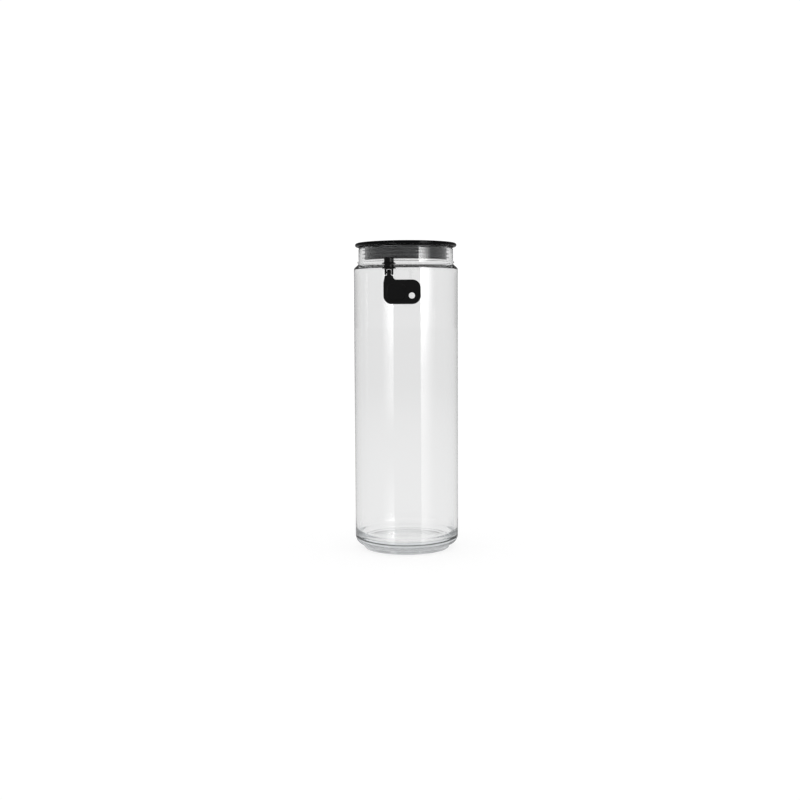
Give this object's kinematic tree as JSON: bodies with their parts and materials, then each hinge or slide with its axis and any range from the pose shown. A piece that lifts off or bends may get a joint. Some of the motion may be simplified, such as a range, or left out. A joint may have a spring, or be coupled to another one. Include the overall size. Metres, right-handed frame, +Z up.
{
  "type": "glass storage jar",
  "caption": "Tall clear glass storage jar with a push-in plug lid, a ribbed seal, and a blank tag that swings from a clear band round the neck.",
  "frame": {"origin": "on the jar's axis, in the plane of the foot that it stands on", "axes": "+Z up along the jar's axis, -Y towards the front where the tag hangs, +X to the right seen from the front"},
  "size_m": [0.105, 0.1146, 0.3095],
  "materials": {
    "clear_glass": "clear, polished, wavy as pressed glass is",
    "gloss_black_plastic": "polished",
    "smoked_plastic": "polished",
    "smoky_silicone": "satin, a little translucent",
    "black_rubber": "satin",
    "clear_plastic": "clear, polished",
    "satin_black_plastic": "satin, fine moulded texture",
    "pin_steel": "bright"
  },
  "bodies": {
    "jar": {"glass_jar": "clear_glass"},
    "lid": {"lid_cap": "gloss_black_plastic", "lid_plug": "smoked_plastic", "seal_ring": "smoky_silicone", "rim_washer": "black_rubber"},
    "neck_band": {"neck_ring": "clear_plastic", "tag_clip": "satin_black_plastic", "tag_pin": "pin_steel"},
    "tag": {"hang_tag": "satin_black_plastic"}
  },
  "joints": [
    {"name": "lid_lift", "type": "slide", "parent": "jar", "child": "lid", "axis": [0, 0, 1], "range_m": [0, 0.06]},
    {"name": "neck_turn", "type": "hinge", "parent": "jar", "child": "neck_band", "pos_m": [0, 0, 0.2905], "axis": [0, 0, 1], "continuous": true},
    {"name": "tag_swing", "type": "hinge", "parent": "neck_band", "child": "tag", "pos_m": [-0.0165, -0.0554, 0.2784], "axis": [-1, 0, 0], "range_deg": [0, 90]}
  ]
}
